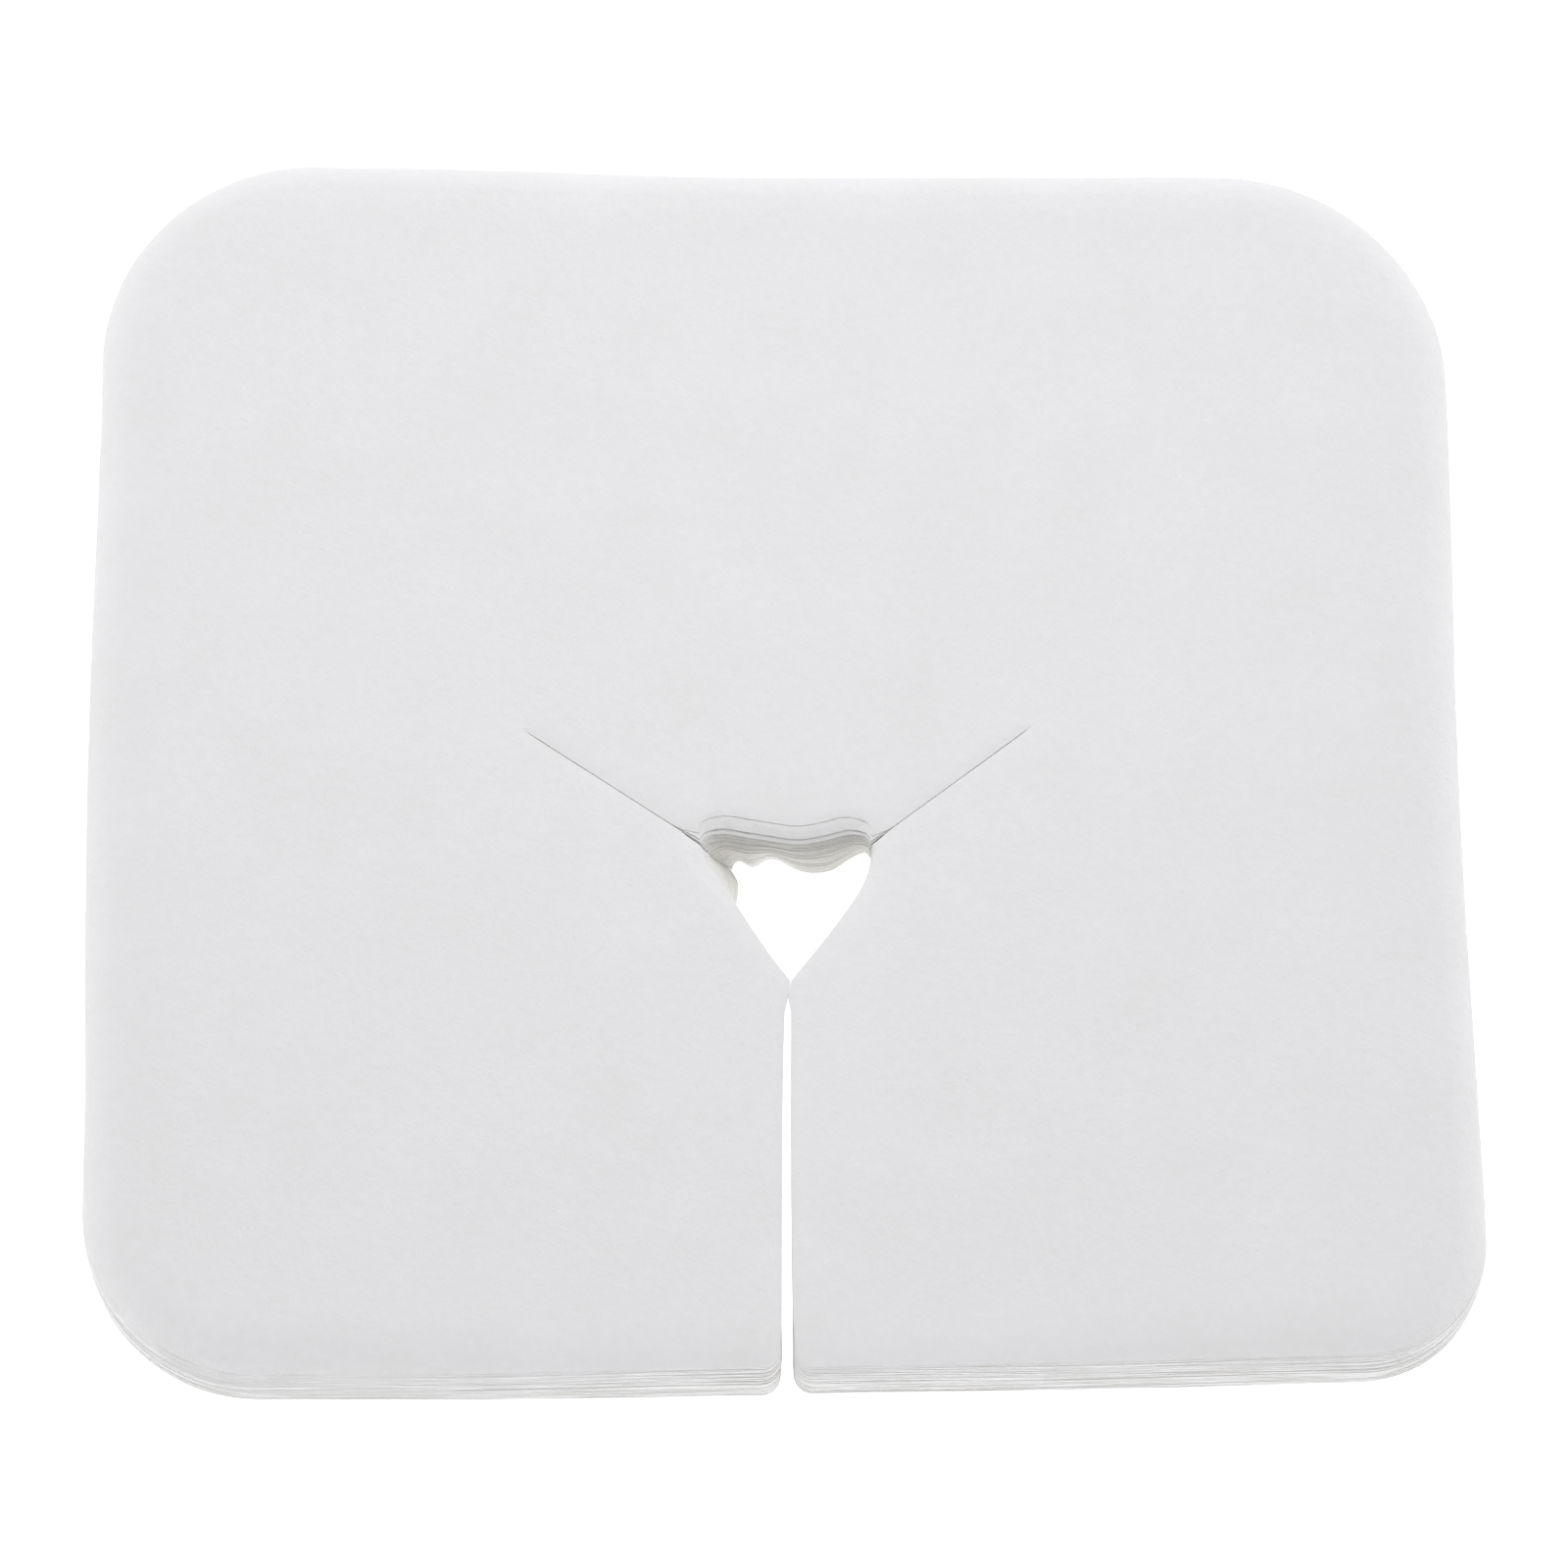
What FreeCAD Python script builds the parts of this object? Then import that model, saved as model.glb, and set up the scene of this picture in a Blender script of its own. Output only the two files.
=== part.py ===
# A pile of die-cut face cradle covers, as laid over the face rest of a massage table.
#
# Every cover is one flat sheet of soft nonwoven with the same outline: rounded corners, a Y-shaped
# slit, and a small heart-shaped breathing opening where the three legs of the slit meet. The chin
# leg runs out through the chin edge, so the outline is a single closed loop.
# The top cover is divided along its three fold lines into the panel that stays flat and the brow,
# left and right flaps that open.
#
# Lengths are in millimetres. The origin is the middle of the pile's base, with +X to the right,
# +Y towards the brow end and +Z up. Left and right are as seen from above with the brow end away.
import FreeCAD, Part

import math
import os

# The pile
COVER_COUNT = 50
COVER_THICKNESS = 0.46
GAP_BETWEEN_COVERS = 0.04

# A cover's outer outline
WIDTH = 330.0
LENGTH = 305.0
BROW_CORNER_RADIUS = 48.0
CHIN_CORNER_RADIUS = 38.0

# The two brow legs of the slit, from the opening up and outwards
SLIT_END_X = 61.5
SLIT_END_Y = 7.5
SLIT_KERF = 0.6

# The chin leg of the slit: a narrow neck below the opening, then a gap out to the chin edge
CHIN_LEG_TIP_GAP = 0.6
CHIN_LEG_NECK_LENGTH = 8.0
CHIN_LEG_NECK_GAP = 2.2
CHIN_LEG_EDGE_GAP = 2.8
CHIN_LEG_CORNER_RADIUS = 6.0

# The heart-shaped breathing opening
OPENING_TIP_Y = -56.0
OPENING_HALF_WIDTH = 20.0
OPENING_SIDE_BULGE = 2.5
LOBE_X = 12.5
LOBE_TOP_Y = -17.5
CLEFT_DEPTH = 3.0

PITCH = COVER_THICKNESS + GAP_BETWEEN_COVERS
HALF_WIDTH = WIDTH / 2
HALF_LENGTH = LENGTH / 2


def point(x, y):
    return FreeCAD.Vector(x, y, 0)


def line(start, end):
    return Part.LineSegment(start, end).toShape()


def arc(start, middle, end):
    return Part.Arc(start, middle, end).toShape()


def corner(centre, radius, start_side, end_side):
    """A quarter circle about centre, from the side that start_side points to round to end_side."""
    start = point(*start_side) * radius
    end = point(*end_side) * radius
    middle = (start + end) * math.cos(math.radians(45))
    return arc(centre + start, centre + middle, centre + end)


def opening_top():
    """The right half of the brow flap's wavy end, from the cleft in the middle to its corner.

    Equal arcs meet tangentially half way between the cleft and the top of the lobe."""
    radius = (LOBE_X**2 + CLEFT_DEPTH**2) / (4 * CLEFT_DEPTH)
    cleft = point(0, LOBE_TOP_Y - CLEFT_DEPTH)
    cleft_centre = cleft + point(0, radius)
    lobe_centre = point(LOBE_X, LOBE_TOP_Y - radius)
    meeting = (cleft_centre + lobe_centre) / 2
    half_angle = math.atan2(meeting.x, cleft_centre.y - meeting.y) / 2
    cleft_middle = cleft_centre + point(math.sin(half_angle), -math.cos(half_angle)) * radius
    lobe_top = point(LOBE_X, LOBE_TOP_Y)
    reach = OPENING_HALF_WIDTH - LOBE_X
    flap_corner = lobe_centre + point(reach, math.sqrt(radius**2 - reach**2))
    return [arc(cleft, cleft_middle, meeting), arc(meeting, lobe_top, flap_corner)], flap_corner


def brow_leg(flap_corner):
    """The right brow leg of the slit: out along its upper side, round its end and back."""
    slit_end = point(SLIT_END_X, SLIT_END_Y)
    kerf_radius = SLIT_KERF / 2
    along = slit_end - flap_corner
    along.normalize()
    down = point(along.y, -along.x)
    end_centre = slit_end - along * kerf_radius
    upper_end = end_centre - down * kerf_radius
    lower_end = end_centre + down * kerf_radius
    side_corner = flap_corner + down * SLIT_KERF
    edges = [
        line(flap_corner, upper_end),
        arc(upper_end, end_centre + along * kerf_radius, lower_end),
        line(lower_end, side_corner),
    ]
    return edges, side_corner


def opening_side(side_corner):
    """The opening's right side, a shallow arc that bulges away from the middle, down to its tip."""
    tip = point(CHIN_LEG_TIP_GAP / 2, OPENING_TIP_Y)
    chord = tip - side_corner
    outwards = point(-chord.y, chord.x)
    outwards.normalize()
    middle = (side_corner + tip) / 2 + outwards * OPENING_SIDE_BULGE
    return [arc(side_corner, middle, tip)], tip


def chin_leg(tip):
    """The right side of the chin leg: its neck, its straight side and its corner at the chin edge."""
    radius = CHIN_LEG_CORNER_RADIUS
    neck_end = point(CHIN_LEG_NECK_GAP / 2, OPENING_TIP_Y - CHIN_LEG_NECK_LENGTH)
    corner_centre = point(CHIN_LEG_EDGE_GAP / 2 + radius, radius - HALF_LENGTH)
    edges = [
        line(tip, neck_end),
        line(neck_end, corner_centre - point(radius, 0)),
        corner(corner_centre, radius, (-1, 0), (0, -1)),
    ]
    return edges, corner_centre - point(0, radius)


def outer_edge(start):
    """The right half of the outer edge, from the chin leg round to the middle of the brow edge."""
    chin_radius = CHIN_CORNER_RADIUS
    brow_radius = BROW_CORNER_RADIUS
    chin_centre = point(HALF_WIDTH - chin_radius, chin_radius - HALF_LENGTH)
    brow_centre = point(HALF_WIDTH - brow_radius, HALF_LENGTH - brow_radius)
    return [
        line(start, chin_centre - point(0, chin_radius)),
        corner(chin_centre, chin_radius, (0, -1), (1, 0)),
        line(chin_centre + point(chin_radius, 0), brow_centre + point(brow_radius, 0)),
        corner(brow_centre, brow_radius, (1, 0), (0, 1)),
        line(brow_centre + point(0, brow_radius), point(0, HALF_LENGTH)),
    ]


def cover_outline():
    """The whole cut edge of a cover: its right half, and the same mirrored to the left."""
    top_edges, flap_corner = opening_top()
    leg_edges, side_corner = brow_leg(flap_corner)
    side_edges, tip = opening_side(side_corner)
    chin_edges, chin_end = chin_leg(tip)
    right = top_edges + leg_edges + side_edges + chin_edges + outer_edge(chin_end)
    left = [edge.mirror(point(0, 0), point(1, 0)) for edge in right]
    return Part.Wire(Part.sortEdges(right + left)[0])


def cover_at(base_z):
    """One whole cover, lying flat with its underside at base_z."""
    face = Part.Face(cover_outline())
    face.translate(FreeCAD.Vector(0, 0, base_z))
    return face.extrude(FreeCAD.Vector(0, 0, COVER_THICKNESS))


def flap_region(corners, base_z):
    """A prism through a cover that takes in everything inside the given corners."""
    polygon = Part.makePolygon([point(x, y) for x, y in corners] + [point(*corners[0])])
    region = Part.Face(polygon)
    region.translate(FreeCAD.Vector(0, 0, base_z - COVER_THICKNESS))
    return region.extrude(FreeCAD.Vector(0, 0, 3 * COVER_THICKNESS))


def top_cover_pieces(base_z):
    """The top cover's four pieces. The flaps end at the lines on which the cloth folds:
    the brow flap's joins the two slit ends, and the others run from a slit end to the chin edge."""
    _, flap_corner = opening_top()
    slope = (SLIT_END_Y - flap_corner.y) / (SLIT_END_X - flap_corner.x)
    legs_meet_y = SLIT_END_Y - slope * SLIT_END_X
    below_chin_y = -HALF_LENGTH - COVER_THICKNESS
    brow = [(-SLIT_END_X, SLIT_END_Y), (SLIT_END_X, SLIT_END_Y), (0, legs_meet_y)]
    right = [
        (SLIT_END_X, SLIT_END_Y),
        (0, legs_meet_y),
        (0, below_chin_y),
        (SLIT_END_X, below_chin_y),
    ]
    left = [(-x, y) for x, y in right]
    cover = cover_at(base_z)
    regions = {
        "top_cover_brow_flap": flap_region(brow, base_z),
        "top_cover_left_flap": flap_region(left, base_z),
        "top_cover_right_flap": flap_region(right, base_z),
    }
    pieces = {name: cover.common(region) for name, region in regions.items()}
    pieces["top_cover_panel"] = cover.cut(list(regions.values()))
    return pieces


def write_solid(shape, name):
    """Writes one node, which is a single valid solid."""
    if len(shape.Solids) != 1 or not shape.isValid():
        raise ValueError(f"{name} is not one valid solid")
    shape.Solids[0].exportStep(f"parts/{name}.step")


def main():
    os.makedirs("parts", exist_ok=True)
    for number in range(1, COVER_COUNT):
        write_solid(cover_at((number - 1) * PITCH), f"cover_{number:02d}")
    for name, piece in top_cover_pieces((COVER_COUNT - 1) * PITCH).items():
        write_solid(piece, name)


main()
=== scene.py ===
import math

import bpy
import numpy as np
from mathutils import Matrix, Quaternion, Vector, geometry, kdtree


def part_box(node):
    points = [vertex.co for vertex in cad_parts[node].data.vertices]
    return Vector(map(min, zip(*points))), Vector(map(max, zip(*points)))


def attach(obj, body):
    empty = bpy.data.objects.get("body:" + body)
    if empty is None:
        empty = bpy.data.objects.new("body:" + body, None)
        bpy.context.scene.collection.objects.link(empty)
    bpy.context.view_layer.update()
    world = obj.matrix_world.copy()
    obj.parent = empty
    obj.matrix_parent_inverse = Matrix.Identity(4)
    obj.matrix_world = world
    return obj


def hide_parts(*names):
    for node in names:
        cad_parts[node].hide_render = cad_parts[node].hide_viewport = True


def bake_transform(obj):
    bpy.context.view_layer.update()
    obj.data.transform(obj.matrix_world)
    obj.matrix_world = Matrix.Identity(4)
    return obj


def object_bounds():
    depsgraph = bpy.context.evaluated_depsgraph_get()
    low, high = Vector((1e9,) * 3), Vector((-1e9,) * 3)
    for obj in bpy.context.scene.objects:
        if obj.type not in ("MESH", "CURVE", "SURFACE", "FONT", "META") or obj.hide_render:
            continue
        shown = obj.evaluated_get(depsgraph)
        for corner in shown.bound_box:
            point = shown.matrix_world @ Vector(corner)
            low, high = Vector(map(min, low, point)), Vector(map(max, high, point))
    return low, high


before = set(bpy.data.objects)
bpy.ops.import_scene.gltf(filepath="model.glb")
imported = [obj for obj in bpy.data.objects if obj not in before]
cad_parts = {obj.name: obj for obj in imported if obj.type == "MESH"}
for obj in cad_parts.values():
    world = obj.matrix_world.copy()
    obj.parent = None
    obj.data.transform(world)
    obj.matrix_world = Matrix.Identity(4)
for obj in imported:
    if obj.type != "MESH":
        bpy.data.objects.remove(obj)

# A pile of die-cut nonwoven face cradle covers. Each cover is its own thin closed sheet.
#
# Plan dimensions are in millimetres in the frame's own axes: +X right, +Y towards the brow end, +Z up.
# A plan point is a pair (x, y). Lights, camera, floor and material are in metres. Every sheet is first
# laid flat at its own height, with its edge a little off its neighbours' edges, and then one function
# settles the whole pile, so that its edges round over together. Each mesh follows that function only
# at its own points, so where the pile rounds over, neighbours overlap by up to about 0.2 mm, which is
# less than a cover's thickness.

cad_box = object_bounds()

# ---------------------------------------------------------------- driving dimensions

MM = 0.001
SEED = 7

LOWER_COVERS = sorted(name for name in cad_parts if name.startswith("cover_"))
COVER_COUNT = len(LOWER_COVERS) + 1
HALF_WIDTH = cad_box[1].x / MM
HALF_LENGTH = cad_box[1].y / MM
PILE_HEIGHT = cad_box[1].z / MM
PITCH = (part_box("cover_02")[0].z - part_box("cover_01")[0].z) / MM
THICKNESS = (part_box("cover_01")[1].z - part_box("cover_01")[0].z) / MM
FOLD_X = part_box("top_cover_right_flap")[1].x / MM
FOLD_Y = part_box("top_cover_brow_flap")[1].y / MM

# The outer corners: which corner of the CAD box each is, how far off that it lies, and its radius
CORNERS = {
    "chin_right": ((1, -1), (2.4, 3.0), 30),
    "brow_right": ((1, 1), (-1.1, -1.5), 56),
    "brow_left": ((-1, 1), (0.3, 5.1), 51),
    "chin_left": ((-1, -1), (-0.4, -0.4), 42),
}
# How far each side bows outwards half way along
SIDE_BOW = {"right": -1.4, "brow": -1.4, "left": 1.3, "chin": 0.4}

# The opening and the three legs of the slit
TIP = (2.9, -56.5)
TONGUE_LEFT = (-18.6, -21.6)
TONGUE_RIGHT = (22.4, -21.9)
TONGUE_END = [
    (-16.8, -19.9),
    (-13.0, -19.2),
    (-5.6, -20.4),
    (4.2, -21.9),
    (11.5, -20.9),
    (17.0, -19.5),
    (20.8, -20.2),
]
LEFT_SIDE = [(-10.8, -34.6), (-16.2, -27.6), (-18.0, -23.8)]
RIGHT_SIDE = [(22.1, -25.6), (19.9, -31.9), (13.8, -41.3)]
SLIT_KERF = 0.06
SLIT_END_KERF = 0.18
SLIT_END_LENGTH = 4.0
SLIT_CORNER_SHIFT = 0.1
TIP_GAP = 0.04
NECK_LEFT = [(2.23, -60.8), (1.35, -64.4), (0.7, -95.0)]
NECK_RIGHT = [(2.27, -60.8), (2.85, -64.4), (2.5, -95.0)]
CHIN_GAP_LEFT_X = 0.2
CHIN_GAP_RIGHT_X = 2.8
CHIN_GAP_RADIUS = 5
CHIN_GAP_OUTWARDS = 1.1
CHIN_GAP_TOP = 40.0

# The spacing of the outline's points along its outer edge, chin leg, slit and opening
OUTER_SPACING = 3.0
LEG_SPACING = 2.5
SLIT_SPACING = 1.8
OPENING_SPACING = 1.2

# How each kind of edge rounds over at the top of the pile: how far the top cover's edge drops,
# how far in from the edge that drop reaches, how far the top cover draws back from the edge,
# the share of the pile's height over which the covers under it draw back too,
# and how far every cover below those stands back instead
EDGE_KINDS = {
    "outer": (4.2, 13, 0.8, 0.20, 0.0),
    "chin_left": (9.2, 10, 1.2, 0.20, 0.0),
    "chin_right": (4.8, 13, 1.0, 0.20, 0.0),
    "chin_corner": (2.4, 10, 0.6, 0.20, 0.1),
    "chin_leg": (0.5, 6, 0.1, 0.10, 0.35),
    "neck": (0.3, 6, 0.0, 0.10, 2.4),
    "tip": (0.4, 6, 0.0, 0.10, 1.0),
    "left_side": (1.3, 7, 3.8, 0.05, 0.0),
    "right_side": (2.0, 8, 1.3, 0.10, 0.0),
    "tongue": (3.0, 8, 4.0, 0.06, 0.0),
    "slit_inner": (0.35, 5, 0.03, 0.10, 0.0),
    "slit_end": (0.2, 4, 0.0, 0.10, 0.0),
}
# How far along the edge one kind passes into the next, and how far its inward direction is evened out
KIND_SMOOTHING = 8.0
PULL_SMOOTHING = 5.0
# An edge that drops this far is wholly free to stray from its neighbours in the pile
FREE_DROP = EDGE_KINDS["chin_corner"][0]
# The higher in the pile, the more of the top's drop a cover takes on
SETTLE_POWER = 1.5

# Where the lower covers have drifted from the top ones: place, shift at the base, and spread
DRIFTS = [
    ((-17.8, -24.0), (8.4, 0.8), 6.2),
    ((-8.0, -19.0), (0.0, -1.2), 3.2),
    ((-1.0, -20.5), (0.0, 3.0), 3.6),
    ((12.0, -19.5), (0.0, -1.3), 4.0),
    ((22.4, -21.5), (0.0, 4.2), 3.6),
]
DRIFT_POWER = 1.2

# How each lower cover strays from the one below, in X and Y and in angle, and how much of that
# one's own stray it keeps
STRAY = np.array([0.05, 0.10])
STRAY_ANGLE = math.radians(0.02)
STRAY_KEPT = 0.6
# Each lower cover's own waviness along its edge: how many waves round it, and their height
WAVES = [(8, 0.10), (21, 0.07), (47, 0.04)]
# How much further in the highest and lowest covers' free edges lie than those half way up
BELLY = 0.5

# A sheet's rim: how far the top cover thins towards it, and how far its waist stands out
TOP_RIM_PINCH = 0.22
RIM_FULLNESS = 0.04
# The lower covers are soft, and fill most of the gap to the next one
LOFTED_THICKNESS = 0.8 * PITCH + 0.2 * THICKNESS

# How wide a strip of each flap along its fold line gets close rows of points
FOLD_STRIP = 9.0
FOLD_ROW_STEP = 1.25
FOLD_LINE_SPACING = 2.5
FOLD_CLEARANCE = 1.0

# The triangles: the least gap between inner points at the edge, how it grows with depth into the
# cloth, and the depths of the rings that follow the edge
LEAST_GAP = 0.9
GAP_GROWTH = 0.4
LOWER_RINGS = (1.5, 4.0, 8.0, 14.0)
LOWER_GRID_STEP = 18.0
TOP_RINGS = (1.0, 2.4, 4.2, 6.6, 9.6)
TOP_GRID_STEP = 5.5

# The cloth's colour where its fibres lie thin and dense
THIN_COLOUR = (0.866, 0.846, 0.792, 1)
DENSE_COLOUR = (0.900, 0.884, 0.838, 1)
FIBRE_DIRECTIONS = (0.25, 1.15, 2.2)

# The floor glows enough to be seen as white
FLOOR_RADIUS = 12
FLOOR_COLOUR = (0.25, 0.25, 0.25, 1)
FLOOR_GLOW = (0.96, 0.98, 1.04, 1)
FLOOR_GLOW_STRENGTH = 1.3

# The room's brightness at the horizon, a little above it, and overhead
SKY_AT_HORIZON = {"side": 5.0, "brow": 1.0, "chin": 5.0}
SKY_ABOVE_HORIZON = {"side": 1.25, "brow": 0.5, "chin": 0.0}
ZENITH = 0.44
SIDE_FOCUS = 6.0
SKY_TINT = (0.981, 1.0, 1.08, 1)

LIGHT_SIZE = 0.6
LIGHT_POWER = 2.72
LIGHTS = {
    "light_left": ((-0.22, 0.33, 1.06), (0.99, 1.0, 1.065)),
    "light_right": ((0.22, 0.33, 1.06), (0.975, 1.0, 1.10)),
}

CAMERA_TILT = math.radians(19)
CAMERA_ROLL = -0.0045
CAMERA_DISTANCE = 2.0
CAMERA_LENS = 191.05
CAMERA_AIM = (0.0016, -0.0071)


# ---------------------------------------------------------------- the outline of a cover

def straight(start, end, spacing):
    """Points from start towards end, without end."""
    start, end = np.array(start, float), np.array(end, float)
    count = max(1, round(float(np.linalg.norm(end - start)) / spacing))
    share = np.arange(count)[:, None] / count
    return start + (end - start) * share


def bowed(start, end, depth, spacing):
    """A side that leaves both ends in line with its chord and stands off it by depth half way."""
    points = straight(start, end, spacing)
    chord = np.array(end, float) - np.array(start, float)
    outwards = np.array([chord[1], -chord[0]]) / np.linalg.norm(chord)
    share = np.arange(len(points)) / len(points)
    return points + outwards * (depth * np.sin(math.pi * share) ** 2)[:, None]


def curve(points, spacing):
    """A smooth curve through points, without the last one (Catmull-Rom)."""
    knots = np.array(points, float)
    knots = np.vstack([2 * knots[0] - knots[1], knots, 2 * knots[-1] - knots[-2]])
    pieces = []
    for before, start, end, after in zip(knots, knots[1:], knots[2:], knots[3:]):
        count = max(1, round(float(np.linalg.norm(end - start)) / spacing))
        t = np.arange(count)[:, None] / count
        pieces.append(
            0.5 * (2 * start + (end - before) * t + (2 * before - 5 * start + 4 * end - after) * t**2
                   + (3 * start - before - 3 * end + after) * t**3)
        )
    return np.vstack(pieces)


def rounded(before, corner, after, radius, spacing):
    """A corner's arc, tangent to both of its sides, and the point where it ends."""
    before, corner, after = (np.array(p, float) for p in (before, corner, after))
    into = (corner - before) / np.linalg.norm(corner - before)
    out = (after - corner) / np.linalg.norm(after - corner)
    turn = math.atan2(into[0] * out[1] - into[1] * out[0], into @ out)
    start = corner - into * radius * abs(math.tan(turn / 2))
    side = math.copysign(1, turn)
    centre = start + side * radius * np.array([-into[1], into[0]])
    count = max(3, round(radius * abs(turn) / spacing))
    angles = turn * np.arange(count + 1) / count
    spoke = start - centre
    arc = [
        centre + np.array([spoke[0] * math.cos(a) - spoke[1] * math.sin(a),
                           spoke[0] * math.sin(a) + spoke[1] * math.cos(a)])
        for a in angles
    ]
    return np.array(arc[:-1]), arc[-1]


def outer_stretches(spacing):
    """The outer edge, counterclockwise from the chin leg's right side round to its left side:
    its stretches, and the points where it starts and ends."""
    place = {
        name: (sign[0] * HALF_WIDTH + shift[0], sign[1] * HALF_LENGTH + shift[1])
        for name, (sign, shift, _) in CORNERS.items()
    }
    left_y, right_y = place["chin_left"][1], place["chin_right"][1]
    slope = (right_y - left_y) / (place["chin_right"][0] - place["chin_left"][0])
    gap_y = left_y + slope * HALF_WIDTH - CHIN_GAP_OUTWARDS
    # Each corner: its place and radius, the edge kinds where it starts and ends, and the next side
    route = [
        ((CHIN_GAP_RIGHT_X, gap_y), CHIN_GAP_RADIUS, "chin_corner", "chin_corner", "chin"),
        (place["chin_right"], CORNERS["chin_right"][2], "chin_right", "outer", "right"),
        (place["brow_right"], CORNERS["brow_right"][2], "outer", "outer", "brow"),
        (place["brow_left"], CORNERS["brow_left"][2], "outer", "outer", "left"),
        (place["chin_left"], CORNERS["chin_left"][2], "outer", "chin_left", "chin"),
        ((CHIN_GAP_LEFT_X, gap_y), CHIN_GAP_RADIUS, "chin_corner", "chin_corner", None),
    ]
    above = [(x, gap_y + CHIN_GAP_TOP) for x in (CHIN_GAP_RIGHT_X, CHIN_GAP_LEFT_X)]
    corners = [above[0]] + [stop[0] for stop in route] + [above[1]]
    stretches = []
    side_start = None
    for index, (corner, radius, first_kind, last_kind, side) in enumerate(route):
        before, after = corners[index], corners[index + 2]
        arc, arc_end = rounded(before, corner, after, radius, min(spacing, radius / 4))
        if side_start is not None:
            points = bowed(side_start, arc[0], side_bow, spacing)
            stretches.append((points, side_kind, first_kind))
        stretches.append((arc, first_kind, last_kind))
        side_start, side_kind, side_bow = arc_end, last_kind, SIDE_BOW.get(side)
    return stretches, stretches[0][0][0], side_start


def cover_outline():
    """The cut edge of a cover, counterclockwise: its points, and each point's edge kind amounts."""
    outer, start, end = outer_stretches(OUTER_SPACING)
    slit_left, slit_right = (-FOLD_X, FOLD_Y), (FOLD_X, FOLD_Y)
    side_left = (TONGUE_LEFT[0] - SLIT_CORNER_SHIFT, TONGUE_LEFT[1] - SLIT_KERF)
    side_right = (TONGUE_RIGHT[0] + SLIT_CORNER_SHIFT, TONGUE_RIGHT[1] - SLIT_KERF)
    tip_left, tip_right = (TIP[0] - TIP_GAP / 2, TIP[1]), (TIP[0] + TIP_GAP / 2, TIP[1])
    kerf_left = slit_end_kerf(slit_left, side_left)
    kerf_right = slit_end_kerf(slit_right, side_right)
    fine, slit, leg = OPENING_SPACING, SLIT_SPACING, LEG_SPACING
    # Each stretch: its points, and the edge kinds where it starts and ends
    stretches = outer + [
        (curve([end, NECK_LEFT[2], NECK_LEFT[1]], leg), "chin_leg", "chin_leg"),
        (straight(NECK_LEFT[1], NECK_LEFT[0], fine), "neck", "neck"),
        (straight(NECK_LEFT[0], tip_left, fine), "neck", "neck"),
        (curve([tip_left] + LEFT_SIDE + [side_left], fine), "tip", "left_side"),
        (straight(side_left, kerf_left, slit), "slit_inner", "slit_end"),
        (straight(kerf_left, slit_left, slit), "slit_end", "slit_end"),
        (straight(slit_left, TONGUE_LEFT, slit), "slit_end", "slit_inner"),
        (curve([TONGUE_LEFT] + TONGUE_END + [TONGUE_RIGHT], fine), "tongue", "tongue"),
        (straight(TONGUE_RIGHT, slit_right, slit), "slit_inner", "slit_end"),
        (straight(slit_right, kerf_right, slit), "slit_end", "slit_end"),
        (straight(kerf_right, side_right, slit), "slit_end", "slit_inner"),
        (curve([side_right] + RIGHT_SIDE + [tip_right], fine), "right_side", "tip"),
        (straight(tip_right, NECK_RIGHT[0], fine), "neck", "neck"),
        (straight(NECK_RIGHT[0], NECK_RIGHT[1], fine), "neck", "neck"),
        (curve([NECK_RIGHT[1], NECK_RIGHT[2], start], leg), "chin_leg", "chin_leg"),
    ]
    points = snap_to_folds(np.vstack([stretch for stretch, _, _ in stretches]))
    amounts = []
    for stretch, kind, next_kind in stretches:
        share = (np.arange(len(stretch)) / len(stretch))[:, None]
        first, last = np.array(EDGE_KINDS[kind]), np.array(EDGE_KINDS[next_kind])
        amounts.append(first * (1 - share) + last * share)
    return points, smoothed_along(points, np.vstack(amounts), KIND_SMOOTHING)


def slit_end_kerf(slit_end, side_corner):
    """Where a brow leg's lower side leaves the slit's end, a little below the straight line."""
    slit_end, side_corner = np.array(slit_end), np.array(side_corner)
    along = (side_corner - slit_end) / np.linalg.norm(side_corner - slit_end)
    across = np.array([along[1], -along[0]])
    down = across if across[1] < 0 else -across
    return slit_end + along * SLIT_END_LENGTH + down * SLIT_END_KERF


def nearest_on_chin_edge(points, x):
    """The index of the chin edge's point nearest to x."""
    deepest = 10
    on_chin_edge = points[:, 1] < -HALF_LENGTH + deepest
    return np.where(on_chin_edge, np.abs(points[:, 0] - x), np.inf).argmin()


def snap_to_folds(points):
    """Moves the chin edge's nearest points sideways onto the two fold lines that reach it."""
    for fold in (-FOLD_X, FOLD_X):
        points[nearest_on_chin_edge(points, fold), 0] = fold
    return points


def smoothed_along(points, values, distance):
    """values along the closed loop of points, each averaged with those within distance."""
    most_neighbours = 8
    step = np.linalg.norm(np.roll(points, -1, axis=0) - points, axis=1)
    total = values * 0
    weight = np.zeros((len(points), 1))
    for shift in range(-most_neighbours, most_neighbours + 1):
        steps_between = range(1, shift + 1) if shift > 0 else range(0, shift, -1)
        gone = sum((np.roll(step, k) for k in steps_between), np.zeros(len(points)))
        near = np.maximum(0, 1 - gone / distance)[:, None]
        total += np.roll(values, shift, axis=0) * near
        weight += near
    return total / weight


def inward_normals(points):
    """The unit normal at each point of a counterclockwise loop, pointing into the cloth."""
    along = np.roll(points, -1, axis=0) - np.roll(points, 1, axis=0)
    along /= np.linalg.norm(along, axis=1)[:, None]
    return np.stack([-along[:, 1], along[:, 0]], axis=1)


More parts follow.
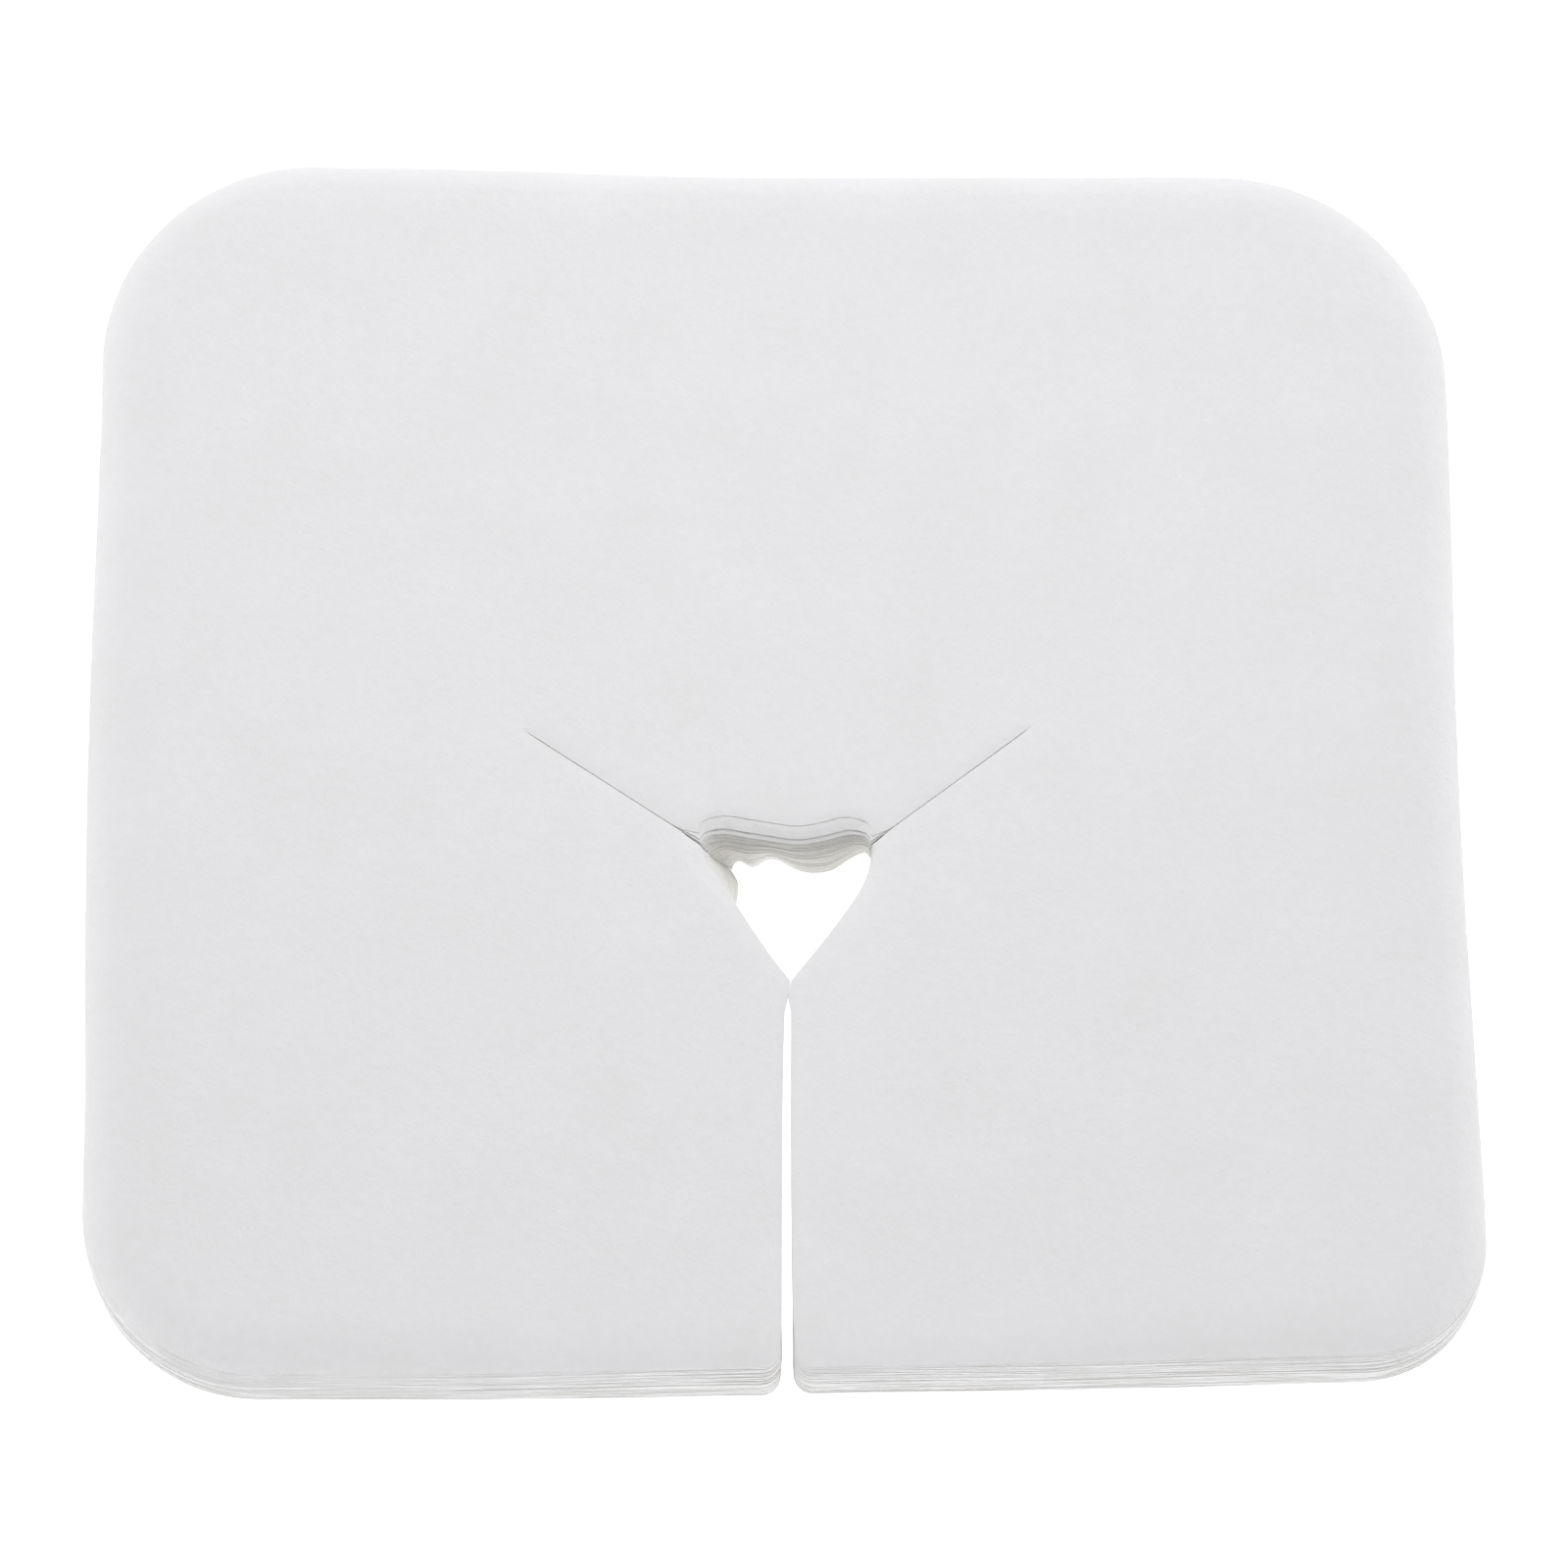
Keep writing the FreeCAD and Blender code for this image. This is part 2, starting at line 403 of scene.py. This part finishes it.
class Edge:
    """The cut edge of a cover, with what is wanted of it near any plan point."""

    def __init__(self):
        self.points, self.amounts = cover_outline()
        self.inwards = inward_normals(self.points)
        self.pull = smoothed_along(self.points, self.inwards, PULL_SMOOTHING)
        self.tree = kdtree.KDTree(len(self.points))
        for index, point in enumerate(self.points):
            self.tree.insert((point[0], point[1], 0), index)
        self.tree.balance()
        step = np.linalg.norm(np.roll(self.points, -1, axis=0) - self.points, axis=1)
        self.travel = np.cumsum(step) - step
        self.length = float(step.sum())

    def nearest(self, places):
        """For each place, the index of the nearest edge point and the depth into the cloth."""
        found = [self.tree.find((x, y, 0)) for x, y in places]
        index = np.array([f[1] for f in found])
        distance = np.array([f[2] for f in found])
        inside = ((places - self.points[index]) * self.inwards[index]).sum(axis=1) > -1e-6
        return index, np.where(inside, distance, 0.0)


edge = Edge()


# ---------------------------------------------------------------- how the pile settles

class DropField:
    """How far the top of the pile has dropped at any plan point, kept on a fine grid."""

    STEP = 1.0
    MARGIN = 8.0
    BLUR_PASSES = 2

    def __init__(self):
        self.low = np.array([-HALF_WIDTH - self.MARGIN, -HALF_LENGTH - self.MARGIN])
        halves = (HALF_WIDTH, HALF_LENGTH)
        self.shape = tuple(int(2 * (half + self.MARGIN) / self.STEP) + 2 for half in halves)
        across, up = np.meshgrid(*(np.arange(n) for n in self.shape), indexing="ij")
        places = self.low + np.stack([across.ravel(), up.ravel()], axis=1) * self.STEP
        index, depth = edge.nearest(places)
        drop, reach = edge.amounts[index, :2].T
        near = np.maximum(0, 1 - depth / reach)
        height = drop * (near**2 + near**5) / 2
        self.grid = height.reshape(self.shape)
        for _ in range(self.BLUR_PASSES):
            for axis in (0, 1):
                ahead, behind = np.roll(self.grid, 1, axis), np.roll(self.grid, -1, axis)
                self.grid = 0.5 * self.grid + 0.25 * (ahead + behind)

    def at(self, places):
        """The drop at each of places, between the grid's points."""
        spot = (places - self.low) / self.STEP
        cell = np.clip(np.floor(spot).astype(int), 0, np.array(self.shape) - 2)
        u, v = (spot - cell).T
        i, j = cell.T
        g = self.grid
        return (g[i, j] * (1 - u) * (1 - v) + g[i + 1, j] * u * (1 - v)
                + g[i, j + 1] * (1 - u) * v + g[i + 1, j + 1] * u * v)


drop_field = DropField()


def swell(places):
    """The slow unevenness of the top of the pile: one broad wave and two shorter, lower ones."""
    x, y = places.T
    return (0.22 * np.sin(x / 47 + 0.6) * np.cos(y / 61 - 0.4)
            + 0.12 * np.sin(x / 23 - y / 31 + 1.1) + 0.08 * np.cos(x / 17 + y / 19))


def settled(places, height):
    """The 3-D points of the settled pile for plan places at a height in the pile as first laid."""
    level = np.clip(height / PILE_HEIGHT, 0, 1) ** SETTLE_POWER
    z = height - (drop_field.at(places) + swell(places)) * level
    return np.column_stack([places, z])


# ---------------------------------------------------------------- triangles across a cover

def far_enough(place, gap, taken, cell=2.0):
    """True, and place is noted, if nothing in taken is nearer to it than gap."""
    i, j = int(place[0] // cell), int(place[1] // cell)
    reach = int(gap // cell) + 1
    for a in range(i - reach, i + reach + 1):
        for b in range(j - reach, j + reach + 1):
            for other in taken.get((a, b), ()):
                if (other[0] - place[0]) ** 2 + (other[1] - place[1]) ** 2 < gap * gap:
                    return False
    taken.setdefault((i, j), []).append(place)
    return True


def inner_points(rings, grid_step, rows=()):
    """Points inside the outline: fixed rows first, then rings that follow the edge, then a grid."""
    least_row_depth = 2.0
    taken = {}
    for point in edge.points:
        far_enough(tuple(point), 0, taken)
    points = []

    def offer(places, gap_at, least_depth):
        _, depths = edge.nearest(places)
        for place, depth in zip(places, depths):
            if depth > least_depth and far_enough(tuple(place), gap_at(depth), taken):
                points.append(tuple(place))

    def widening(depth):
        return LEAST_GAP + GAP_GROWTH * depth

    for row in rows:
        offer(row, lambda depth: LEAST_GAP, least_row_depth)
    for ring in rings:
        offer(edge.points + edge.inwards * ring, widening, 0.8 * ring)
    ends = [int(half / grid_step) + 1 for half in (HALF_WIDTH, HALF_LENGTH)]
    across, up = np.meshgrid(*(np.arange(-end, end + 1) for end in ends), indexing="ij")
    grid = np.stack([(across + 0.5 * (up % 2)).ravel(), up.ravel() * 0.9], axis=1) * grid_step
    offer(grid, lambda depth: min(0.75 * grid_step, widening(depth)), rings[-1])
    return points


def triangulated(inner, fold_lines=()):
    """Plan points, edge first, and counterclockwise triangles, with the fold lines kept as edges."""
    count = len(edge.points)
    points = [Vector(p) for p in edge.points] + [Vector(p) for p in inner]
    links = [(i, (i + 1) % count) for i in range(count)]
    for line in fold_lines:
        first = len(points)
        points += [Vector(p) for p in line[1:-1]]
        chain = [nearest_on_edge(line[0])] + list(range(first, len(points))) + [nearest_on_edge(line[-1])]
        links += list(zip(chain, chain[1:]))
    inside_only, tolerance = 1, 1e-5
    made, _, triangles, source, _, _ = geometry.delaunay_2d_cdt(points, links, [], inside_only, tolerance)
    order = [s[0] for s in source]
    if sorted(order) != list(range(len(points))):
        raise ValueError("the outline crosses itself")
    place_of = np.array(order)
    plan = np.empty((len(points), 2))
    plan[place_of] = [tuple(p) for p in made]
    return plan, place_of[np.array(triangles)]


def nearest_on_edge(place):
    """The index of the edge's point nearest to place."""
    return int(np.linalg.norm(edge.points - place, axis=1).argmin())


def fold_line(start, end):
    """Points along a fold line, with both of its ends."""
    return np.vstack([straight(start, end, FOLD_LINE_SPACING), [end]])


# ---------------------------------------------------------------- one sheet

class Plan:
    """A triangulated cover lying flat, and how its points answer to moves of its edge."""

    EDGE_REACH = 16.0

    def __init__(self, points, triangles):
        self.points = points
        self.triangles = triangles
        self.edge_count = len(edge.points)
        _, depth = edge.nearest(points)
        gaps = ((points[:, None] - edge.points[None]) ** 2).sum(axis=2) + 1e-9
        shares = gaps**-2
        fading = np.maximum(0, 1 - depth / self.EDGE_REACH) ** 2
        self.shares = shares / shares.sum(axis=1)[:, None] * fading[:, None]
        self.shares[:self.edge_count] = np.eye(self.edge_count)
        self.drift = np.zeros_like(points)
        for centre, shift, spread in DRIFTS:
            away = ((points - np.array(centre)) ** 2).sum(axis=1) / (2 * spread**2)
            self.drift += np.array(shift) * np.exp(-away)[:, None]

    def placed(self, level, rng=None):
        """The plan points of the cover at level, 0 at the base and 1 at the top."""
        drop, _, draw_back, share, stand_back = edge.amounts.T
        rise = np.clip((level - 1 + share) / share, 0, 1)
        inwards = draw_back * (1 - np.sqrt(1 - rise**2)) + stand_back * (1 - rise) ** 0.5
        free = np.clip(drop / FREE_DROP, 0, 1) ** 2
        inwards = inwards + free * BELLY * (2 * level - 1) ** 2
        if rng is not None:
            inwards = inwards + free * waviness(rng)
        moves = self.shares @ (edge.pull * inwards[:, None])
        return self.points + moves + self.drift * (1 - level) ** DRIFT_POWER


def waviness(rng):
    """How far a cover's own waviness moves each point of its edge inwards."""
    turns = edge.travel / edge.length * 2 * math.pi
    return sum(
        height * np.sin(waves * turns + rng.uniform(0, 2 * math.pi))
        for waves, height in WAVES
    )


def edge_outwards(plan):
    """The outward direction at each of a plan's edge points, and nothing at the others."""
    outwards = np.zeros_like(plan.points)
    outwards[:plan.edge_count] = -edge.inwards
    return outwards


def nudged(places, offset, angle):
    """places turned about the middle by angle and moved by offset."""
    c, s = math.cos(angle), math.sin(angle)
    return places @ np.array([[c, s], [-s, c]]) + offset


def sheet_mesh(name, places, triangles, outwards, base_height, thickness, rim_pinch, seam=None):
    """A closed thin sheet: its upper and lower skins, joined round the edge by a slightly full rim."""
    used = np.unique(triangles)
    renumber = np.full(len(places), -1)
    renumber[used] = np.arange(len(used))
    places, outwards = places[used], outwards[used]
    seam = np.zeros(len(used), bool) if seam is None else seam[used]
    triangles = renumber[triangles]
    directed = {(a, b) for t in triangles.tolist() for a, b in zip(t, t[1:] + t[:1])}
    border = [(a, b) for a, b in directed if (b, a) not in directed]
    border.sort()
    rim = sorted({a for a, _ in border})
    rim_at = {vertex: 2 * len(used) + k for k, vertex in enumerate(rim)}

    pinch = np.zeros(len(used))
    pinch[rim] = 1
    pinch[seam] = 0
    top = settled(places, base_height + thickness - pinch * rim_pinch)
    bottom = settled(places, np.full(len(places), base_height))
    fullness = np.where(seam, 0, RIM_FULLNESS)[rim, None]
    waist = base_height + (thickness - pinch[rim] * rim_pinch) / 2
    middle = settled(places[rim] + outwards[rim] * fullness, waist)
    vertices = np.vstack([top, bottom, middle]) * MM

    count = len(used)
    faces = triangles.tolist() + (triangles[:, ::-1] + count).tolist()
    for a, b in border:
        faces.append([rim_at[a], rim_at[b], b, a])
        faces.append([a + count, b + count, rim_at[b], rim_at[a]])
    mesh = bpy.data.meshes.new(name)
    mesh.from_pydata(vertices.tolist(), [], faces)
    mesh.shade_smooth()
    crisp = {frozenset((a + skin, b + skin)) for a, b in border for skin in (0, count)}
    for mesh_edge in mesh.edges:
        mesh_edge.use_edge_sharp = frozenset(mesh_edge.vertices) in crisp
    mesh.validate()
    piece = bpy.data.objects.new(name, mesh)
    bpy.context.scene.collection.objects.link(piece)
    return piece


def flat_area(points, triangles):
    """The area of a cut, in square metres."""
    a, b, c = (points[triangles[:, k]] for k in range(3))
    doubled = np.abs((b - a)[:, 0] * (c - a)[:, 1] - (b - a)[:, 1] * (c - a)[:, 0])
    return float(doubled.sum() / 2) * MM**2


# ---------------------------------------------------------------- material

def new_node(tree, kind, inputs=None, **settings):
    """A node of a kind, with its settings and the constant values of its inputs."""
    node = tree.nodes.new(kind)
    for key, value in settings.items():
        setattr(node, key, value)
    for key, value in (inputs or {}).items():
        node.inputs[key].default_value = value
    return node


def noise(tree, coordinates, scale, detail=3.0, stretch=(1, 1, 1), turn=0.0):
    """A noise over the object, stretched along one direction and turned about Z."""
    placing = {"Scale": stretch, "Rotation": (0, 0, turn)}
    mapping = new_node(tree, "ShaderNodeMapping", placing, vector_type="TEXTURE")
    texture = new_node(tree, "ShaderNodeTexNoise", {"Scale": scale, "Detail": detail, "Roughness": 0.55})
    tree.links.new(coordinates, mapping.inputs["Vector"])
    tree.links.new(mapping.outputs["Vector"], texture.inputs["Vector"])
    return texture.outputs["Fac"]


def math_node(tree, operation, first, second=0.0):
    """The result of an operation on two values, each a number or another node's output."""
    node = new_node(tree, "ShaderNodeMath", operation=operation)
    for socket, value in zip(node.inputs, (first, second)):
        if isinstance(value, (int, float)):
            socket.default_value = value
        else:
            tree.links.new(value, socket)
    return node.outputs["Value"]


def ranged(tree, value, low, high, to_low, to_high):
    """value carried from the range low to high over to the range to_low to to_high, and kept in it."""
    node = new_node(tree, "ShaderNodeMapRange",
                    {"From Min": low, "From Max": high, "To Min": to_low, "To Max": to_high})
    tree.links.new(value, node.inputs["Value"])
    return node.outputs["Result"]


def nonwoven():
    """Soft white spunlaced nonwoven: cloudy fibre density, and fine crossing fibres in the surface."""
    material = bpy.data.materials.new("nonwoven")
    material.use_nodes = True
    tree = material.node_tree
    shader = tree.nodes["Principled BSDF"]
    coordinates = new_node(tree, "ShaderNodeTexCoord").outputs["Object"]

    clouds = noise(tree, coordinates, 38, detail=4)
    mottle = noise(tree, coordinates, 420, detail=3)
    fibres = None
    for turn in FIBRE_DIRECTIONS:
        strand = noise(tree, coordinates, 1500, detail=2, stretch=(1, 9, 1), turn=turn)
        fibres = strand if fibres is None else math_node(tree, "MAXIMUM", fibres, strand)

    density = math_node(tree, "ADD", math_node(tree, "MULTIPLY", clouds, 0.4),
                        math_node(tree, "ADD", math_node(tree, "MULTIPLY", mottle, 0.3),
                                  math_node(tree, "MULTIPLY", fibres, 0.3)))
    colour = new_node(tree, "ShaderNodeValToRGB")
    colour.color_ramp.elements[0].position = 0.40
    colour.color_ramp.elements[0].color = THIN_COLOUR
    colour.color_ramp.elements[1].position = 0.66
    colour.color_ramp.elements[1].color = DENSE_COLOUR
    tree.links.new(density, colour.inputs["Fac"])
    tree.links.new(colour.outputs["Color"], shader.inputs["Base Color"])
    tree.links.new(ranged(tree, density, 0.35, 0.65, 1.0, 0.82), shader.inputs["Roughness"])

    lumps = new_node(tree, "ShaderNodeBump", {"Strength": 0.5, "Distance": 0.0004})
    tree.links.new(mottle, lumps.inputs["Height"])
    strands = new_node(tree, "ShaderNodeBump", {"Strength": 0.6, "Distance": 0.0002})
    tree.links.new(fibres, strands.inputs["Height"])
    tree.links.new(lumps.outputs["Normal"], strands.inputs["Normal"])
    tree.links.new(strands.outputs["Normal"], shader.inputs["Normal"])

    shader.inputs["Specular IOR Level"].default_value = 0.2
    shader.inputs["Sheen Weight"].default_value = 0.15
    shader.inputs["Sheen Roughness"].default_value = 0.6
    return material


# ---------------------------------------------------------------- the covers

def declare_cloth(piece, material, node):
    """Gives a piece its material, and hides the CAD node that it stands for."""
    piece.data.materials.append(material)
    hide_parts(node)


def make_lower_covers(material):
    """The whole covers under the top one."""
    plan = Plan(*triangulated(inner_points(LOWER_RINGS, LOWER_GRID_STEP)))
    outwards = edge_outwards(plan)
    rng = np.random.default_rng(SEED)
    offset, angle = np.zeros(2), 0.0
    below = []
    for number, node in enumerate(LOWER_COVERS):
        offset = STRAY_KEPT * offset + rng.normal(0, 1, 2) * STRAY
        angle = STRAY_KEPT * angle + rng.normal(0, STRAY_ANGLE)
        level = (number + 1) / COVER_COUNT
        places = nudged(plan.placed(level, rng), offset, angle)
        piece = sheet_mesh(f"{node}_cloth", places, plan.triangles, outwards, number * PITCH,
                           LOFTED_THICKNESS, rim_pinch=0.0)
        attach(piece, "pile")
        declare_cloth(piece, material, node)
        below = [piece.name]
    return below


def in_flap(points):
    """Which flap of the top cover each plan point is in."""
    x, y = points.T
    slope_left = (TONGUE_LEFT[1] - FOLD_Y) / (TONGUE_LEFT[0] + FOLD_X)
    slope_right = (TONGUE_RIGHT[1] - FOLD_Y) / (TONGUE_RIGHT[0] - FOLD_X)
    over_left = y > FOLD_Y + slope_left * (x + FOLD_X)
    over_right = y > FOLD_Y + slope_right * (x - FOLD_X)
    brow = (y < FOLD_Y) & over_left & over_right
    left = (x > -FOLD_X) & (x < TIP[0]) & ~brow & (y < FOLD_Y)
    right = (x < FOLD_X) & (x >= TIP[0]) & ~brow & (y < FOLD_Y)
    return {"brow": brow, "left": left, "right": right}


def make_top_cover(material):
    """The top cover: one sheet, cut along its fold lines into the panel and three flaps."""
    lines = [
        fold_line((-FOLD_X, FOLD_Y), (FOLD_X, FOLD_Y)),
        fold_line((-FOLD_X, FOLD_Y), (-FOLD_X, chin_edge_y(-FOLD_X))),
        fold_line((FOLD_X, FOLD_Y), (FOLD_X, chin_edge_y(FOLD_X))),
    ]
    distances = np.arange(FOLD_ROW_STEP, FOLD_STRIP + 2 * FOLD_ROW_STEP, FOLD_ROW_STEP)
    rows = [lines[0] - (0, away) for away in distances]
    rows += [lines[1] + (away, 0) for away in distances]
    rows += [lines[2] - (away, 0) for away in distances]
    inner = inner_points(TOP_RINGS, TOP_GRID_STEP, keep_off(lines, rows))
    inner = [p for p in inner if far_from_lines(p, lines)]
    points, triangles = triangulated(inner, lines)
    plan = Plan(points, triangles)
    places = plan.placed(1.0)
    aside, y = np.abs(points[:, 0]), points[:, 1]
    close = 1e-4
    on_fold = np.isclose(y, FOLD_Y, atol=close) & (aside < FOLD_X + close)
    on_fold |= np.isclose(aside, FOLD_X, atol=close) & (y < FOLD_Y + close)
    on_fold[:plan.edge_count] = False
    outwards = edge_outwards(plan)
    flaps = in_flap(points[triangles].mean(axis=1))
    panel = ~(flaps["brow"] | flaps["left"] | flaps["right"])
    base = (COVER_COUNT - 1) * PITCH

    def piece_of(name, chosen):
        part = triangles[chosen]
        piece = sheet_mesh(f"{name}_cloth", places, part, outwards, base, THICKNESS, TOP_RIM_PINCH,
                           seam=on_fold)
        return piece, flat_area(points, part)

    piece, area = piece_of("top_cover_panel", panel)
    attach(piece, "top_cover")
    declare_cloth(piece, material, "top_cover_panel")
    # Each flap: a point on its fold line, and the way into the flap from there
    bends = {
        "brow": ((0, FOLD_Y), (0, -1)),
        "left": ((-FOLD_X, 0), (1, 0)),
        "right": ((FOLD_X, 0), (-1, 0)),
    }
    for flap, (start, towards) in bends.items():
        name = f"top_cover_{flap}_flap"
        piece, area = piece_of(name, flaps[flap])
        declare_cloth(piece, material, name)
        start = Vector((*start, PILE_HEIGHT))
        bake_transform(piece)


def chin_edge_y(x):
    """The chin edge's y at the point of the outline that lies on the fold line at x."""
    return float(edge.points[nearest_on_chin_edge(edge.points, x), 1])


def far_from_lines(place, lines):
    """Whether a place is clear of every fold line's points."""
    return all(np.linalg.norm(line - np.array(place), axis=1).min() > FOLD_CLEARANCE for line in lines)


def keep_off(lines, rows):
    """rows without the points that lie too near a fold line."""
    return [np.array([p for p in row if far_from_lines(p, lines)]) for row in rows]


# ---------------------------------------------------------------- floor, light and camera

def make_floor():
    bpy.ops.mesh.primitive_circle_add(vertices=64, radius=FLOOR_RADIUS, fill_type="NGON")
    floor = bpy.context.object
    floor.name = "floor"
    material = bpy.data.materials.new("pale_floor")
    material.use_nodes = True
    shader = material.node_tree.nodes["Principled BSDF"]
    shader.inputs["Base Color"].default_value = FLOOR_COLOUR
    shader.inputs["Roughness"].default_value = 1.0
    shader.inputs["Specular IOR Level"].default_value = 0.0
    shader.inputs["Emission Color"].default_value = FLOOR_GLOW
    shader.inputs["Emission Strength"].default_value = FLOOR_GLOW_STRENGTH
    floor.data.materials.append(material)


def make_sky():
    """A pale room, brightest at the horizon, with the chin side dark a little above that."""
    world = bpy.data.worlds.new("room")
    bpy.context.scene.world = world
    world.use_nodes = True
    tree = world.node_tree
    direction = new_node(tree, "ShaderNodeTexCoord").outputs["Generated"]
    parts = new_node(tree, "ShaderNodeSeparateXYZ")
    tree.links.new(direction, parts.inputs["Vector"])
    x, y, z = (parts.outputs[axis] for axis in "XYZ")

    squares = [math_node(tree, "MULTIPLY", part, part) for part in (x, y)]
    ground = math_node(tree, "SQRT", math_node(tree, "ADD", *squares))
    sideways = math_node(tree, "POWER", math_node(tree, "DIVIDE", x, ground), SIDE_FOCUS)
    forwards = math_node(tree, "DIVIDE", y, ground)
    brow_share = ranged(tree, forwards, -0.5, 0.5, 0.0, 1.0)

    def around(side, brow, chin):
        ends = ranged(tree, brow_share, 0.0, 1.0, chin, brow)
        gain = math_node(tree, "MULTIPLY", sideways, math_node(tree, "SUBTRACT", side, ends))
        return math_node(tree, "ADD", ends, gain)

    def between(low, high, share):
        step = math_node(tree, "MULTIPLY", math_node(tree, "SUBTRACT", high, low), share)
        return math_node(tree, "ADD", low, step)

    above_horizon = ranged(tree, z, 0.04, 0.09, 0.0, 1.0)
    overhead = ranged(tree, z, 0.45, 0.9, 0.0, 1.0)
    lower = between(around(**SKY_AT_HORIZON), around(**SKY_ABOVE_HORIZON), above_horizon)
    strength = between(lower, ZENITH, overhead)
    background = tree.nodes["Background"]
    background.inputs["Color"].default_value = SKY_TINT
    tree.links.new(strength, background.inputs["Strength"])


def make_lights():
    """Two soft cool lights above the brow end, turned to the pile, the right one a little cooler."""
    for name, (place, colour) in LIGHTS.items():
        data = bpy.data.lights.new(name, "AREA")
        data.shape = "DISK"
        data.size = LIGHT_SIZE
        data.energy = LIGHT_POWER
        data.color = colour
        light = bpy.data.objects.new(name, data)
        light.location = place
        light.rotation_euler = (-Vector(place)).to_track_quat("-Z", "Y").to_euler()
        bpy.context.scene.collection.objects.link(light)


def make_camera():
    """The photo's view: from the chin side, tilted a little from straight down."""
    data = bpy.data.cameras.new("camera")
    data.sensor_width = 36
    data.lens = CAMERA_LENS
    data.clip_start, data.clip_end = 0.05, 50
    camera = bpy.data.objects.new("camera", data)
    bpy.context.scene.collection.objects.link(camera)
    pile_top = PILE_HEIGHT * MM
    back = CAMERA_DISTANCE * math.sin(CAMERA_TILT)
    up = CAMERA_DISTANCE * math.cos(CAMERA_TILT)
    camera.location = (0, -back, up + pile_top)
    look = (Vector((*CAMERA_AIM, pile_top)) - camera.location).to_track_quat("-Z", "Y")
    roll = Quaternion((0, 0, 1), CAMERA_ROLL)
    camera.rotation_mode = "QUATERNION"
    camera.rotation_quaternion = look @ roll
    bpy.context.scene.camera = camera


def main():
    material = nonwoven()
    below = make_lower_covers(material)
    make_top_cover(material)
    make_floor()
    make_sky()
    make_lights()
    make_camera()
    bpy.context.scene.view_settings.view_transform = "Standard"


main()
